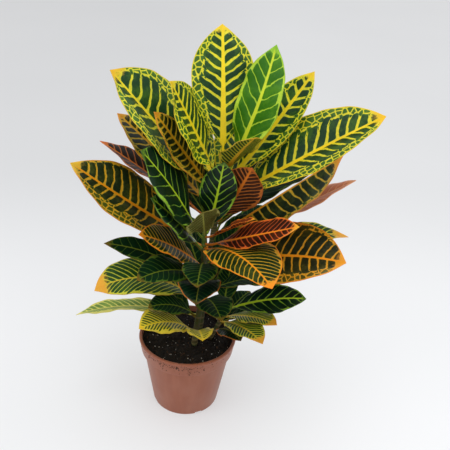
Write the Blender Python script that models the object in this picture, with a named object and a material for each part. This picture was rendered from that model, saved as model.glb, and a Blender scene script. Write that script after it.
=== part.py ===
"""Potted croton: a variegated house plant with three leafy stems in a plastic nursery pot.

Metres, +Z up. The origin is the middle of the pot's underside, +X is the side that the tall
stem leans to and -Y is the front. Every leaf is a solid of its own: a stalk that starts at its
stem and a folded, waved blade around a midrib.
"""

import math

import bmesh
import bpy
import numpy as np

MM = 0.001
GAP = 0.3 * MM  # clearance kept between pieces that touch

# Pot: a turned shell with a collar, a flat foot ring and a flat pad in the middle of the base.
POT_SIDES = 48
POT_HEIGHT = 104 * MM
RIM_RADIUS = 65 * MM
RIM_THICKNESS = 4 * MM
COLLAR_DEPTH = 22 * MM
COLLAR_FOOT_RADIUS = 61.5 * MM
WALL_TOP_RADIUS = 58 * MM
BASE_RADIUS = 44.5 * MM
WALL = 1.6 * MM
FOOT_WIDTH = 4 * MM
FOOT_HEIGHT = 3 * MM
PAD_RADIUS = 12 * MM
BASE_THICKNESS = 1.8 * MM
DRAIN_HOLES = 8
DRAIN_RADIUS = 4 * MM
DRAIN_RING = 27 * MM
NOTCHES = 4
NOTCH_SIZE = (14 * MM, 10 * MM, 5.2 * MM)  # of the block that cuts one, half of it below the foot
NOTCH_TURN = -62  # degrees, heading of the first notch

# Soil: fills the pot to just under the rim, a little heaped round the stems.
SOIL_LEVEL = 97 * MM
SOIL_HEAP = 3 * MM
HOLE_DEPTH = 36 * MM

# Stems: name -> foot (x, y) on the soil, tip (x, y, z), sideways bow (x, y), foot and tip radius.
STEMS = {
    "tall": ((14, 12), (34, 4, 360), (0, 0), 4.6, 3.0),
    "middle": ((10, -16), (17, -28, 280), (3, 0), 4.0, 2.6),
    "short": ((30, 0), (46, -8, 156), (2, 0), 3.2, 2.2),
}
STEM_SIDES = 12
STEM_RINGS = 12

# Leaves, from the soil up. Each row: height of the stalk's root on its stem, heading (0 is +X,
# 90 the back), rise of the stalk, droop from root to tip, length with stalk, width, roll round
# the midrib, fold of the two halves, colour. Millimetres and degrees.
LEAVES = {
    "tall": (
        (118, 150, 38, 50, 110, 40, 0, 20, "dark"),
        (128, 180, 13, 40, 168, 40, 10, 20, "pale"),
        (140, 80, 40, 45, 120, 44, 0, 20, "dark"),
        (150, 198, 52, 84, 154, 64, -15, 20, "gold"),
        (158, 40, 38, 45, 110, 42, 0, 20, "dark"),
        (172, 115, 42, 40, 130, 50, 0, 20, "dark"),
        (184, 198, 44, 32, 145, 32, -35, 20, "dark"),
        (196, 50, 40, 40, 140, 50, 0, 20, "dark"),
        (206, 232, 48, 18, 152, 46, -40, 22, "orange"),
        (214, 328, 33, 24, 190, 84, 35, 22, "orange"),
        (222, 150, 38, 30, 140, 54, 0, 20, "dark"),
        (262, 96, 56, 20, 116, 50, 0, 20, "dark"),
        (236, 190, 34, -5, 200, 76, -30, 24, "orange"),
        (226, 5, 28, 40, 175, 40, 5, 20, "gold"),
        (250, 65, 44, 25, 135, 52, 0, 20, "orange"),
        (258, 330, 46, 2, 205, 68, 20, -20, "orange"),
        (244, 355, 33, -2, 190, 50, 0, 20, "rust"),
        (276, 176, 36, 5, 164, 44, 0, 25, "orange"),
        (276, 318, 60, -5, 100, 54, -60, 15, "rust"),
        (266, 140, 44, 25, 130, 50, 0, 20, "gold"),
        (292, 172, 45, 6, 160, 56, -20, 18, "orange"),
        (300, 70, 50, 20, 150, 64, 10, 18, "gold"),
        (302, 0, 37, 5, 215, 90, 25, 32, "gold"),
        (312, 218, 54, 0, 146, 42, -60, 20, "orange"),
        (314, 190, 51, 0, 190, 106, -28, 30, "gold"),
        (320, 24, 51, -4, 172, 50, 35, 22, "gold"),
        (324, 135, 46, 15, 125, 54, -10, 18, "gold"),
        (334, 215, 62, 0, 142, 74, -45, 15, "gold"),
        (338, 4, 68, -14, 162, 56, 50, 15, "green"),
        (344, 306, 54, 10, 80, 52, 0, 16, "gold"),
        (352, 101, 74, 12, 158, 74, 0, 12, "gold"),
        (270, 24, 38, 25, 145, 54, 0, 20, "dark"),
        (170, 352, 36, 40, 115, 48, 0, 20, "dark"),
    ),
    "middle": (
        (120, 280, 56, 52, 76, 34, 0, 20, "pale"),
        (126, 220, 48, 52, 94, 48, -10, 20, "pale"),
        (150, 205, 50, 60, 72, 40, -10, 20, "dark"),
        (178, 290, 44, 60, 84, 46, 0, 20, "dark"),
        (206, 268, 44, 60, 92, 50, 0, 20, "dark"),
        (214, 222, 40, 50, 100, 46, -15, 20, "dark"),
        (256, 300, 34, 46, 154, 76, 0, 20, "orange"),
        (262, 318, 32, 0, 152, 38, 35, 20, "rust"),
        (256, 228, 54, 10, 122, 46, -50, 20, "green"),
        (272, 312, 38, 0, 98, 22, 10, 30, "rust"),
        (276, 268, 50, 0, 70, 42, 35, 12, "green"),
        (270, 216, 64, 14, 150, 74, -42, 16, "dark"),
        (275, 20, 80, -2, 92, 43, 66, 12, "dark"),
        (226, 36, 48, 20, 90, 40, 0, 20, "dark"),
        (234, 268, 34, 50, 78, 42, 0, 20, "dark"),
    ),
    "short": (
        (110, 55, 35, 40, 84, 36, 0, 20, "dark"),
        (118, 296, 44, 40, 78, 32, 10, 20, "dark"),
        (128, 10, 35, 40, 84, 36, 0, 20, "dark"),
        (134, 302, 34, 34, 102, 40, 0, 22, "green"),
        (142, 322, 34, 30, 90, 36, 0, 18, "green"),
        (150, 80, 60, 20, 62, 30, 0, 18, "dark"),
        (154, 350, 32, 26, 108, 42, 25, 15, "green"),
    ),
}
STALK_SHARE = 0.12  # of a leaf's length
STALK_WIDTH = 3.0
STALK_THICKNESS = 2.6
STALK_LEAN = 20  # degrees that a stalk's root lies lower than its rise
WIDEST = 0.54  # place along the blade of its full width
EDGE_THICKNESS = 0.7
MIDRIB_THICKNESS = 1.8
CUP = -20  # degrees that each half curls back towards its edge
WAVE = 1.6  # height of the waves along an edge
WAVES = 2.3  # of them along a leaf
PHASE = 2.4  # radians from one leaf's waves to the next one's
STATIONS = (0.0, 0.05, 0.12, 0.2, 0.32, 0.45, 0.6, 0.75, 0.88, 0.96, 1.0)
ACROSS = (-1.0, -0.55, 0.0, 0.55, 1.0)

COLOURS = {
    "pot plastic": ((0.40, 0.17, 0.10), 0.55),
    "potting soil": ((0.018, 0.014, 0.011), 0.95),
    "green bark": ((0.12, 0.14, 0.07), 0.7),
    "gold leaf": ((0.30, 0.32, 0.05), 0.35),
    "orange leaf": ((0.30, 0.14, 0.02), 0.35),
    "rust leaf": ((0.25, 0.08, 0.03), 0.4),
    "green leaf": ((0.08, 0.22, 0.03), 0.35),
    "pale leaf": ((0.35, 0.38, 0.12), 0.4),
    "dark leaf": ((0.02, 0.06, 0.02), 0.3),
}


def clear_scene():
    for obj in list(bpy.data.objects):
        bpy.data.objects.remove(obj, do_unlink=True)


def material(name):
    """One Principled material for each finish, made when it is first asked for."""
    found = bpy.data.materials.get(name)
    if found:
        return found
    colour, roughness = COLOURS[name]
    made = bpy.data.materials.new(name)
    made.use_nodes = True
    shader = made.node_tree.nodes["Principled BSDF"]
    shader.inputs["Base Color"].default_value = (*colour, 1.0)
    shader.inputs["Roughness"].default_value = roughness
    shader.inputs["Metallic"].default_value = 0.0
    return made


def add_object(name, mesh, finish):
    obj = bpy.data.objects.new(name, mesh)
    bpy.context.collection.objects.link(obj)
    mesh.materials.append(material(finish))
    mesh.shade_smooth()
    mesh.set_sharp_from_angle(angle=math.radians(40))
    return obj


def turned_mesh(name, profile, sides):
    """A closed (radius, height) profile turned round Z; points on the axis become one point."""
    mesh = bpy.data.meshes.new(name)
    bm = bmesh.new()
    rings = []
    for radius, height in profile:
        if radius == 0:
            rings.append([bm.verts.new((0, 0, height))] * sides)
            continue
        ring = []
        for k in range(sides):
            angle = 2 * math.pi * k / sides
            ring.append(bm.verts.new((radius * math.cos(angle), radius * math.sin(angle), height)))
        rings.append(ring)
    for low, high in zip(rings, rings[1:] + rings[:1]):
        for k in range(sides):
            corners = [low[k], low[(k + 1) % sides], high[(k + 1) % sides], high[k]]
            corners = list(dict.fromkeys(corners))
            if len(corners) > 2:
                bm.faces.new(corners)
    bmesh.ops.recalc_face_normals(bm, faces=bm.faces)
    bm.to_mesh(mesh)
    bm.free()
    return mesh


def wall_radius(height):
    """Outer radius of the pot's tapering wall, below the collar."""
    top = POT_HEIGHT - COLLAR_DEPTH
    return BASE_RADIUS + (WALL_TOP_RADIUS - BASE_RADIUS) * height / top


def add_cutter(name, mesh):
    obj = bpy.data.objects.new(name, mesh)
    bpy.context.collection.objects.link(obj)
    obj.hide_render = True
    obj.display_type = "WIRE"
    return obj


def add_pot():
    step = POT_HEIGHT - COLLAR_DEPTH
    inner_foot = wall_radius(FOOT_HEIGHT + BASE_THICKNESS) - WALL
    profile = (
        (0, 0),
        (PAD_RADIUS, 0),
        (PAD_RADIUS + 1 * MM, FOOT_HEIGHT),
        (BASE_RADIUS - FOOT_WIDTH - 1 * MM, FOOT_HEIGHT),
        (BASE_RADIUS - FOOT_WIDTH, 0),
        (BASE_RADIUS - 0.8 * MM, 0),
        (BASE_RADIUS, 0.8 * MM),
        (wall_radius(step), step),
        (COLLAR_FOOT_RADIUS, step + 1.5 * MM),
        (RIM_RADIUS - 0.8 * MM, POT_HEIGHT - 4 * MM),
        (RIM_RADIUS, POT_HEIGHT - 2.5 * MM),
        (RIM_RADIUS - 0.6 * MM, POT_HEIGHT - 0.6 * MM),
        (RIM_RADIUS - 1.6 * MM, POT_HEIGHT),
        (RIM_RADIUS - RIM_THICKNESS, POT_HEIGHT),
        (COLLAR_FOOT_RADIUS - WALL, step + 4 * MM),
        (wall_radius(step) - WALL, step),
        (inner_foot, FOOT_HEIGHT + BASE_THICKNESS),
        (0, FOOT_HEIGHT + BASE_THICKNESS),
    )
    pot = add_object("pot", turned_mesh("pot", profile, POT_SIDES), "pot plastic")
    bm = bmesh.new()
    for k in range(DRAIN_HOLES):
        angle = 2 * math.pi * (k + 0.5) / DRAIN_HOLES
        made = bmesh.ops.create_cone(
            bm, cap_ends=True, segments=12, radius1=DRAIN_RADIUS, radius2=DRAIN_RADIUS, depth=12 * MM
        )
        centre = (DRAIN_RING * math.cos(angle), DRAIN_RING * math.sin(angle), FOOT_HEIGHT)
        bmesh.ops.translate(bm, verts=made["verts"], vec=centre)
    for k in range(NOTCHES):
        angle = math.radians(NOTCH_TURN + 360 * k / NOTCHES)
        made = bmesh.ops.create_cube(bm, size=1.0)
        bmesh.ops.scale(bm, verts=made["verts"], vec=NOTCH_SIZE)
        bmesh.ops.translate(bm, verts=made["verts"], vec=(BASE_RADIUS, 0, 0))
        turn = ((math.cos(angle), -math.sin(angle), 0), (math.sin(angle), math.cos(angle), 0), (0, 0, 1))
        for vert in made["verts"]:
            vert.co = [sum(row[i] * vert.co[i] for i in range(3)) for row in turn]
    mesh = bpy.data.meshes.new("drainage cutter")
    bm.to_mesh(mesh)
    bm.free()
    cut = pot.modifiers.new("drainage", "BOOLEAN")
    cut.object = add_cutter("drainage_cutter", mesh)
    cut.operation = "DIFFERENCE"


def stem_point(stem, height):
    """Centre of a stem at a height in millimetres: a straight lean with a shallow bow."""
    foot, tip, bow = (np.array(value, float) for value in STEMS[stem][:3])
    low = SOIL_LEVEL / MM
    share = (height - low) / (tip[2] - low)
    swell = math.sin(math.pi * share) ** 2 if share > 0 else 0
    flat = foot + (tip[:2] - foot) * share + bow * swell
    return np.array((*flat, height))


def stem_radius(stem, height):
    low, high = SOIL_LEVEL / MM, STEMS[stem][1][2]
    share = min(max((height - low) / (high - low), 0), 1)
    return STEMS[stem][3] + (STEMS[stem][4] - STEMS[stem][3]) * share


def tube_mesh(name, centres, radii, sides):
    """A closed tube of level rings, its last ring drawn in to a blunt tip."""
    mesh = bpy.data.meshes.new(name)
    bm = bmesh.new()
    rings = []
    for centre, radius in zip(centres, radii):
        ring = []
        for k in range(sides):
            angle = 2 * math.pi * k / sides
            offset = np.array((math.cos(angle), math.sin(angle), 0)) * radius
            ring.append(bm.verts.new((centre + offset) * MM))
        rings.append(ring)
    for low, high in zip(rings, rings[1:]):
        for k in range(sides):
            bm.faces.new((low[k], low[(k + 1) % sides], high[(k + 1) % sides], high[k]))
    bm.faces.new(rings[0][::-1])
    bm.faces.new(rings[-1])
    bm.to_mesh(mesh)
    bm.free()
    return mesh


def add_stems():
    for stem in STEMS:
        low = (SOIL_LEVEL - HOLE_DEPTH) / MM + GAP / MM
        top = STEMS[stem][1][2]
        heights = [low + (top - 3 - low) * k / (STEM_RINGS - 1) for k in range(STEM_RINGS)]
        centres = [stem_point(stem, height) for height in heights]
        radii = [stem_radius(stem, height) for height in heights]
        centres.append(stem_point(stem, top))
        radii.append(0.5 * radii[-1])
        add_object(f"{stem}_stem", tube_mesh(f"{stem}_stem", centres, radii, STEM_SIDES), "green bark")


def add_soil():
    inner = [
        (wall_radius(FOOT_HEIGHT + BASE_THICKNESS) - WALL, FOOT_HEIGHT + BASE_THICKNESS),
        (wall_radius(POT_HEIGHT - COLLAR_DEPTH) - WALL, POT_HEIGHT - COLLAR_DEPTH),
        (COLLAR_FOOT_RADIUS - WALL, POT_HEIGHT - COLLAR_DEPTH + 4 * MM),
    ]
    share = (SOIL_LEVEL - inner[2][1]) / (POT_HEIGHT - inner[2][1])
    brim = inner[2][0] + (RIM_RADIUS - RIM_THICKNESS - inner[2][0]) * share
    profile = (
        (0, inner[0][1] + GAP),
        (inner[0][0] - GAP, inner[0][1] + GAP),
        (inner[1][0] - GAP, inner[1][1]),
        (inner[2][0] - GAP, inner[2][1]),
        (brim - GAP, SOIL_LEVEL),
        (0.7 * brim, SOIL_LEVEL + 0.6 * SOIL_HEAP),
        (0.35 * brim, SOIL_LEVEL + SOIL_HEAP),
        (0, SOIL_LEVEL + SOIL_HEAP),
    )
    soil = add_object("soil", turned_mesh("soil", profile, POT_SIDES), "potting soil")
    for stem in STEMS:
        bottom = (SOIL_LEVEL - HOLE_DEPTH) / MM
        heights = (bottom, SOIL_LEVEL / MM, (SOIL_LEVEL + 2 * SOIL_HEAP) / MM)
        centres = [stem_point(stem, height) for height in heights]
        radii = [stem_radius(stem, height) + 1.1 * GAP / MM for height in heights]
        hole = add_cutter(f"{stem}_hole_cutter", tube_mesh(f"{stem}_hole", centres, radii, STEM_SIDES))
        cut = soil.modifiers.new(f"{stem} hole", "BOOLEAN")
        cut.object = hole
        cut.operation = "DIFFERENCE"


def leaf_frames(stem, height, heading, rise, droop, length, roll):
    """Points, side and up directions along a leaf's midrib, at STATIONS, in millimetres.

    The heading is fixed. The elevation falls from the rise by the droop towards the tip, and
    the stalk's root lies lower still, so that it leaves its stem at an open angle.
    """
    steps = np.linspace(0, 1, 101)
    near_root = np.clip(1 - steps / STALK_SHARE, 0, 1) ** 2
    elevation = np.radians(rise - droop * steps**1.3 - STALK_LEAN * near_root)
    azimuth = math.radians(heading)
    flat = np.array((math.cos(azimuth), math.sin(azimuth), 0))
    level_side = np.array((-math.sin(azimuth), math.cos(azimuth), 0))
    tangent = np.outer(np.cos(elevation), flat) + np.outer(np.sin(elevation), (0, 0, 1))
    points = np.zeros((101, 3))
    points[1:] = np.cumsum((tangent[1:] + tangent[:-1]) / 2, axis=0) * length / 100
    points += stem_point(stem, height) + flat * (stem_radius(stem, height) + GAP / MM)
    turn = np.radians(roll * np.clip(steps / 0.35, 0, 1))[:, None]
    upright = np.cross(tangent, level_side)
    upright[0] = (0, 0, 1)
    side = level_side * np.cos(turn) + upright * np.sin(turn)
    up = upright * np.cos(turn) - level_side * np.sin(turn)
    picked = [round(100 * station) for station in STATIONS]
    return points[picked], side[picked], up[picked]


def half_width(share, width):
    """Half the blade's width at a share of the blade's length: full at WIDEST, pointed at both ends."""
    if share < WIDEST:
        return width / 2 * (1 - (1 - share / WIDEST) ** 1.9)
    return width / 2 * (1 - ((share - WIDEST) / (1 - WIDEST)) ** 2.5)


def leaf_mesh(name, stem, row, phase):
    """A closed blade: a ring of points round each station, five above and five below."""
    height, heading, rise, droop, length, width, roll, fold, _ = row
    points, sides, ups = leaf_frames(stem, height, heading, rise, droop, length, roll)
    mesh = bpy.data.meshes.new(name)
    bm = bmesh.new()
    rings = []
    for station, point, side, up in zip(STATIONS, points, sides, ups):
        share = max(0, (station - STALK_SHARE) / (1 - STALK_SHARE))
        half = max(half_width(share, width), STALK_WIDTH / 2 * (1 - 0.8 * share))
        blade = min(1, share * 6)
        above, below = [], []
        for across in ACROSS:
            reach = abs(across)
            angle = math.radians(blade * (fold + CUP * reach / 2))
            wave = WAVE * blade * reach**2 * math.sin(2 * math.pi * WAVES * share + phase + 2 * across)
            wave *= min(1, half / 15)
            centre = point + side * half * across * math.cos(angle)
            centre = centre + up * (half * reach * math.sin(angle) + wave)
            rib = STALK_THICKNESS + (MIDRIB_THICKNESS - STALK_THICKNESS) * blade
            rib = rib + (EDGE_THICKNESS - rib) * share
            thick = EDGE_THICKNESS + (rib - EDGE_THICKNESS) * (1 - reach) ** (1 + blade)
            thick = thick + (1 - blade) * 0.7 * (reach == 1)
            above.append(bm.verts.new((centre + up * thick / 2) * MM))
            below.append(bm.verts.new((centre - up * thick / 2) * MM))
        rings.append(above + below[::-1])
    count = len(rings[0])
    last = len(ACROSS) - 1
    for ring, following in zip(rings, rings[1:]):
        for k in range(count):
            a, b = ring[k], ring[(k + 1) % count]
            d, c = following[k], following[(k + 1) % count]
            upper = k < last
            if upper:
                bm.faces.new((a, b, c))
                bm.faces.new((a, c, d))
            else:
                bm.faces.new((a, b, d))
                bm.faces.new((b, c, d))
    bm.faces.new(rings[0][::-1])
    bm.faces.new(rings[-1])
    bmesh.ops.recalc_face_normals(bm, faces=bm.faces)
    bm.to_mesh(mesh)
    bm.free()
    return mesh


def add_leaves():
    for stem, rows in LEAVES.items():
        for number, row in enumerate(rows, 1):
            name = f"{stem}_leaf_{number:02d}"
            add_object(name, leaf_mesh(name, stem, row, PHASE * number), f"{row[-1]} leaf")


clear_scene()
add_pot()
add_soil()
add_stems()
add_leaves()
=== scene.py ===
"""Potted croton: leaves, stems, potting mix and nursery pot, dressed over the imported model."""

import math

import bpy
import numpy as np
from mathutils import Matrix, Vector


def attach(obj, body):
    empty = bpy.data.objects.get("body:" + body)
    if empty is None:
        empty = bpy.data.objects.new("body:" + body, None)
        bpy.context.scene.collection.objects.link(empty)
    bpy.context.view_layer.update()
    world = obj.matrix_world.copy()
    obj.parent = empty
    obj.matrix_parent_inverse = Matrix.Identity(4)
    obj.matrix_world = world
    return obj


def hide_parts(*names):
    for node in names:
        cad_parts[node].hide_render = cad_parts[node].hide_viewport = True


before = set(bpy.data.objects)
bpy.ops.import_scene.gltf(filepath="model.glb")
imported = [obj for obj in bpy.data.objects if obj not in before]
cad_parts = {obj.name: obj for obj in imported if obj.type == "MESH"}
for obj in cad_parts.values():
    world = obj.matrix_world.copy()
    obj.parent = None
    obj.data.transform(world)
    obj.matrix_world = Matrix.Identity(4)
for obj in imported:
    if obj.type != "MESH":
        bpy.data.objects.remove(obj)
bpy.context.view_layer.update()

MM = 0.001

# Pot and soil, in millimetres, as in the solid model.
GAP = 0.3  # clearance kept between pieces that touch
POT_SIDES = 192
POT_HEIGHT = 104
POT_CREASE = 38  # degrees; a steeper edge of the pot stays sharp
WALL_FOOT = 44.5
WALL_TOP = 58
WALL = 1.6
COLLAR_STEP = 82
COLLAR_FOOT = (59.9, 86)  # radius and height of the collar's inside, at its foot and at the rim
COLLAR_RIM = (61.0, POT_HEIGHT)
DRAIN_HOLES = 8
DRAIN_RADIUS = 4
DRAIN_RING = 27
DRAIN_SIDES = 28
NOTCHES = 4
NOTCH_SIZE = (14, 10, 5.2)  # of the block that cuts one, half of it below the foot
NOTCH_TURN = -62  # degrees, heading of the first notch
SOIL_LEVEL = 97
SOIL_HEAP = 3
SOIL_FLOOR = 5.4
SOIL_SEED = 5
SOCKET_DEPTH = 34  # of a stem's foot in the soil
SCATTER_SEED = 21
SPILT_CRUMBS = 230

# Stems: foot (x, y), tip (x, y, z), bow (x, y), foot and tip radius.
STEMS = {
    "tall": ((14, 12), (34, 4, 360), (0, 0), 4.6, 3.0),
    "middle": ((10, -16), (17, -28, 280), (3, 0), 4.0, 2.6),
    "short": ((30, 0), (46, -8, 156), (2, 0), 3.2, 2.2),
}
# Leaves, roughly from the soil up: height of the stalk's root on its stem, heading, rise of the
# stalk, droop from root to tip, length with stalk, width, roll, fold, colour. Millimetres and
# degrees.
LEAVES = {
    "tall": (
        (118, 150, 38, 50, 110, 40, 0, 20, "dark"),
        (128, 180, 13, 40, 168, 40, 10, 20, "pale"),
        (140, 80, 40, 45, 120, 44, 0, 20, "dark"),
        (150, 198, 52, 84, 154, 64, -15, 20, "gold"),
        (158, 40, 38, 45, 110, 42, 0, 20, "dark"),
        (172, 115, 42, 40, 130, 50, 0, 20, "dark"),
        (184, 198, 44, 32, 145, 32, -35, 20, "dark"),
        (196, 50, 40, 40, 140, 50, 0, 20, "dark"),
        (206, 232, 48, 18, 152, 46, -40, 22, "orange"),
        (214, 328, 33, 24, 190, 84, 35, 22, "orange"),
        (222, 150, 38, 30, 140, 54, 0, 20, "dark"),
        (262, 96, 56, 20, 116, 50, 0, 20, "dark"),
        (236, 190, 34, -5, 200, 76, -30, 24, "orange"),
        (226, 5, 28, 40, 175, 40, 5, 20, "gold"),
        (250, 65, 44, 25, 135, 52, 0, 20, "orange"),
        (258, 330, 46, 2, 205, 68, 20, -20, "orange"),
        (244, 355, 33, -2, 190, 50, 0, 20, "rust"),
        (276, 176, 36, 5, 164, 44, 0, 25, "orange"),
        (276, 318, 60, -5, 100, 54, -60, 15, "rust"),
        (266, 140, 44, 25, 130, 50, 0, 20, "gold"),
        (292, 172, 45, 6, 160, 56, -20, 18, "orange"),
        (300, 70, 50, 20, 150, 64, 10, 18, "gold"),
        (302, 0, 37, 5, 215, 90, 25, 32, "gold"),
        (312, 218, 54, 0, 146, 42, -60, 20, "orange"),
        (314, 190, 51, 0, 190, 106, -28, 30, "gold"),
        (320, 24, 51, -4, 172, 50, 35, 22, "gold"),
        (324, 135, 46, 15, 125, 54, -10, 18, "gold"),
        (334, 215, 62, 0, 142, 74, -45, 15, "gold"),
        (338, 4, 68, -14, 162, 56, 50, 15, "green"),
        (344, 306, 54, 10, 80, 52, 0, 16, "gold"),
        (352, 101, 74, 12, 158, 74, 0, 12, "gold"),
        (270, 24, 38, 25, 145, 54, 0, 20, "dark"),
        (170, 352, 36, 40, 115, 48, 0, 20, "dark"),
    ),
    "middle": (
        (120, 280, 56, 52, 76, 34, 0, 20, "pale"),
        (126, 220, 48, 52, 94, 48, -10, 20, "pale"),
        (150, 205, 50, 60, 72, 40, -10, 20, "dark"),
        (178, 290, 44, 60, 84, 46, 0, 20, "dark"),
        (206, 268, 44, 60, 92, 50, 0, 20, "dark"),
        (214, 222, 40, 50, 100, 46, -15, 20, "dark"),
        (256, 300, 34, 46, 154, 76, 0, 20, "orange"),
        (262, 318, 32, 0, 152, 38, 35, 20, "rust"),
        (256, 228, 54, 10, 122, 46, -50, 20, "green"),
        (272, 312, 38, 0, 98, 22, 10, 30, "rust"),
        (276, 268, 50, 0, 70, 42, 35, 12, "green"),
        (270, 216, 64, 14, 150, 74, -42, 16, "dark"),
        (275, 20, 80, -2, 92, 43, 66, 12, "dark"),
        (226, 36, 48, 20, 90, 40, 0, 20, "dark"),
        (234, 268, 34, 50, 78, 42, 0, 20, "dark"),
    ),
    "short": (
        (110, 55, 35, 40, 84, 36, 0, 20, "dark"),
        (118, 296, 44, 40, 78, 32, 10, 20, "dark"),
        (128, 10, 35, 40, 84, 36, 0, 20, "dark"),
        (134, 302, 34, 34, 102, 40, 0, 22, "green"),
        (142, 322, 34, 30, 90, 36, 0, 18, "green"),
        (150, 80, 60, 20, 62, 30, 0, 18, "dark"),
        (154, 350, 32, 26, 108, 42, 25, 15, "green"),
    ),
}

# Fine leaf surface.
LEAF_ROWS = 73
LEAF_COLUMNS = 23
STALK_SHARE = 0.12  # of a leaf's length
STALK_WIDTH = 3.0
STALK_THICKNESS = 2.6
STALK_LEAN = 20  # degrees that a stalk's root lies lower than its rise
WIDEST = 0.54  # place along the blade of its full width
EDGE_THICKNESS = 0.7
MIDRIB_THICKNESS = 1.8
CUP = -20  # degrees that each half curls back towards its edge
WAVE = 1.6  # height of the waves along an edge
WAVES = 2.3  # of them along a leaf
RIPPLE = 0.45  # height of the small ripples at the very edge
RIPPLES = 7.0
SWELL = 0.16  # height of the blade's swelling between two side veins
PHASE = 2.4  # radians from one leaf's waves to the next one's
STEM_SEED = {"tall": 0, "middle": 7, "short": 13}  # sets one stem's leaf patterns apart


def tint(red, green, blue):
    """Linear colour from a mixed one on the usual 0 to 255 scale."""
    return tuple((value / 255) ** 2.2 for value in (red, green, blue)) + (1.0,)


# ---------------------------------------------------------------- shader maths


class Wire:
    """One output socket. Arithmetic on it adds Math nodes to its tree."""

    def __init__(self, finish, socket):
        self.finish = finish
        self.socket = socket

    def math(self, operation, *values):
        """A Math node with this wire as its first value."""
        inputs = dict(enumerate((self, *values)))
        return self.finish.node("ShaderNodeMath", {"operation": operation}, inputs)

    def __add__(self, other):
        return self.math("ADD", other)

    def __mul__(self, other):
        return self.math("MULTIPLY", other)

    def __sub__(self, other):
        return self.math("SUBTRACT", other)

    def __pow__(self, other):
        return self.math("POWER", other)

    def __abs__(self):
        return self.math("ABSOLUTE")

    def __rsub__(self, other):
        return self.finish.node("ShaderNodeMath", {"operation": "SUBTRACT"}, {0: other, 1: self})

    __radd__ = __add__
    __rmul__ = __mul__


class Finish:
    """A material being built round one Principled shader."""

    def __init__(self, name, **constants):
        self.material = bpy.data.materials.new(name)
        self.material.use_nodes = True
        self.tree = self.material.node_tree
        self.tree.nodes.clear()
        self.shader = self.tree.nodes.new("ShaderNodeBsdfPrincipled")
        output = self.tree.nodes.new("ShaderNodeOutputMaterial")
        self.tree.links.new(self.shader.outputs[0], output.inputs["Surface"])
        for socket, value in constants.items():
            self.shader.inputs[socket.replace("_", " ")].default_value = value

    def node(self, kind, settings=None, inputs=None, output=0):
        """Adds a node: its settings first, then the values or links of its sockets."""
        made = self.tree.nodes.new(kind)
        for key, value in (settings or {}).items():
            setattr(made, key, value)
        for key, value in (inputs or {}).items():
            if isinstance(value, Wire):
                self.tree.links.new(value.socket, made.inputs[key])
            else:
                made.inputs[key].default_value = value
        return Wire(self, made.outputs[output])

    def feed(self, **links):
        """Links wires to the shader's sockets, an underscore standing for each space."""
        for socket, wire in links.items():
            self.tree.links.new(wire.socket, self.shader.inputs[socket.replace("_", " ")])

    def smooth(self, value, low, high):
        """0 below low, 1 above high, eased between; low may be the greater one."""
        settings = {"interpolation_type": "SMOOTHSTEP"}
        inputs = {0: value, 1: low, 2: high, 3: 0.0, 4: 1.0}
        if low > high:
            inputs = {0: value, 1: high, 2: low, 3: 1.0, 4: 0.0}
        return self.node("ShaderNodeMapRange", settings, inputs)

    def blend(self, share, first, second):
        """First where the share is 0, second where it is 1."""
        settings = {"data_type": "RGBA", "blend_type": "MIX"}
        return self.node("ShaderNodeMix", settings, {0: share, 6: first, 7: second}, 2)

    def noise(self, place, scale, detail=2.0, roughness=0.5):
        """Cloudy noise about 0.5, its lumps one over the scale across."""
        inputs = {"Vector": place, "Scale": scale, "Detail": detail, "Roughness": roughness}
        return self.node("ShaderNodeTexNoise", {}, inputs)

    def scaled(self, place, x, y, z):
        """A place with each axis multiplied, which draws noise out along the smallest one."""
        inputs = {0: place, 1: (x, y, z)}
        return self.node("ShaderNodeVectorMath", {"operation": "MULTIPLY"}, inputs)

    def attribute(self, name):
        """A vector stored at the points of the mesh."""
        return self.node("ShaderNodeAttribute", {"attribute_name": name}, {}, 1)

    def split(self, place):
        """The three numbers of a vector."""
        made = self.node("ShaderNodeSeparateXYZ", {}, {0: place})
        return [Wire(self, socket) for socket in made.socket.node.outputs]

    def bump(self, height, strength, distance):
        """Relief under the shader's normal; the distance is in metres."""
        inputs = {"Height": height, "Strength": strength, "Distance": distance}
        self.feed(Normal=self.node("ShaderNodeBump", {}, inputs))

    def place(self):
        """Object coordinates in millimetres."""
        here = self.node("ShaderNodeTexCoord", {}, {}, 3)
        return self.node("ShaderNodeVectorMath", {"operation": "SCALE"}, {0: here, 3: 1000.0})


# ---------------------------------------------------------------- leaf finishes

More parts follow.
